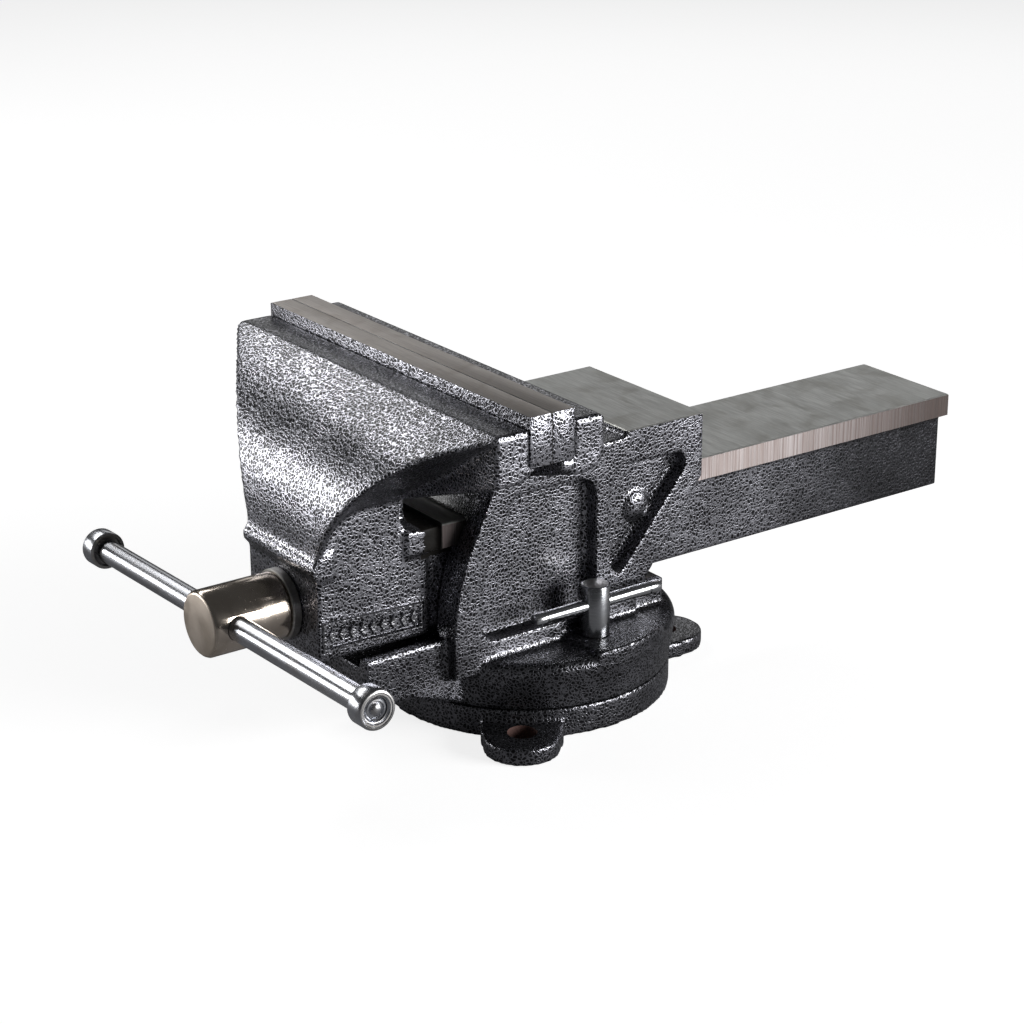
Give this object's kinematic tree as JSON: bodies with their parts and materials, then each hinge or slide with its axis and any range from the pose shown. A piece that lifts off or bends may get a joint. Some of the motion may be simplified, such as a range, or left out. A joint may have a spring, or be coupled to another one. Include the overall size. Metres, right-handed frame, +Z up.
{
  "type": "bench vise",
  "caption": "Cast-iron swivel-base bench vise with steel jaw plates, T-shaped slide, anvil, sliding tommy bar and swivel clamp screws.",
  "frame": {"origin": "swivel axis at the underside of the base, centre of the bench bolt circle", "axes": "+Z up along the swivel axis; +Y along the slide, away from the tommy bar; +X across the jaws"},
  "size_m": [0.2327, 0.4001, 0.1666],
  "materials": {
    "hammertone_paint": "silver and black hammertone enamel on cast iron",
    "ground_jaw_steel": "ground",
    "nickel_plate": "warm nickel plate, satin",
    "zinc_plate": "bright plate",
    "turned_steel": "bright turned",
    "machined_steel": "machined, lightly oiled",
    "machined_iron": "machined grey iron",
    "black_steel": "blackened"
  },
  "bodies": {
    "base": {"base_plate": "hammertone_paint"},
    "turntable": {"pivot_bolt": "machined_steel", "turntable_body": "hammertone_paint", "rear_jaw_plate": "ground_jaw_steel", "rear_plate_screws": "black_steel", "lead_nut": "machined_iron", "nut_bolts": "machined_steel", "clamp_nut_left": "machined_steel", "clamp_nut_right": "machined_steel"},
    "slide": {"movable_jaw": "hammertone_paint", "front_jaw_plate": "ground_jaw_steel", "front_plate_screws": "black_steel", "thrust_washer": "machined_steel"},
    "screw": {"spindle": "nickel_plate", "take_up_spring": "machined_steel", "retaining_collar": "machined_steel", "collar_pin": "machined_steel"},
    "handle": {"handle_bar": "zinc_plate", "handle_cap_left": "zinc_plate", "handle_cap_right": "zinc_plate"},
    "left_clamp": {"clamp_screw_left": "turned_steel"},
    "right_clamp": {"clamp_screw_right": "turned_steel"},
    "left_clamp_handle": {"clamp_bar_left": "turned_steel"},
    "right_clamp_handle": {"clamp_bar_right": "turned_steel"}
  },
  "joints": [
    {"name": "swivel", "type": "hinge", "parent": "base", "child": "turntable", "pos_m": [0, 0, 0.0135], "axis": [0, 0, 1], "continuous": true},
    {"name": "jaw_slide", "type": "slide", "parent": "turntable", "child": "slide", "axis": [0, -1, 0], "range_m": [0, 0.15]},
    {"name": "screw_turn", "type": "hinge", "parent": "slide", "child": "screw", "pos_m": [0, -0.1278, 0.068], "axis": [0, -1, 0], "range_deg": [0, 10800]},
    {"name": "handle_slide", "type": "slide", "parent": "screw", "child": "handle", "axis": [0.9996, 0, 0.0279], "range_m": [-0.094, 0.087]},
    {"name": "right_clamp_turn", "type": "hinge", "parent": "turntable", "child": "right_clamp", "pos_m": [0.0499, 0.0027, 0.0382], "axis": [0, 0, 1], "range_deg": [-7, 6]},
    {"name": "left_clamp_turn", "type": "hinge", "parent": "turntable", "child": "left_clamp", "pos_m": [-0.0499, 0.0027, 0.0382], "axis": [0, 0, 1], "range_deg": [-6, 7]},
    {"name": "right_clamp_bar_slide", "type": "slide", "parent": "right_clamp", "child": "right_clamp_handle", "axis": [0, 1, 0], "range_m": [-0.016, 0.016]},
    {"name": "left_clamp_bar_slide", "type": "slide", "parent": "left_clamp", "child": "left_clamp_handle", "axis": [0, 1, 0], "range_m": [-0.016, 0.016]}
  ],
  "couplings": [
    {"joint": "jaw_slide", "follows": "screw_turn", "m_per_rad": 0.00079577}
  ]
}
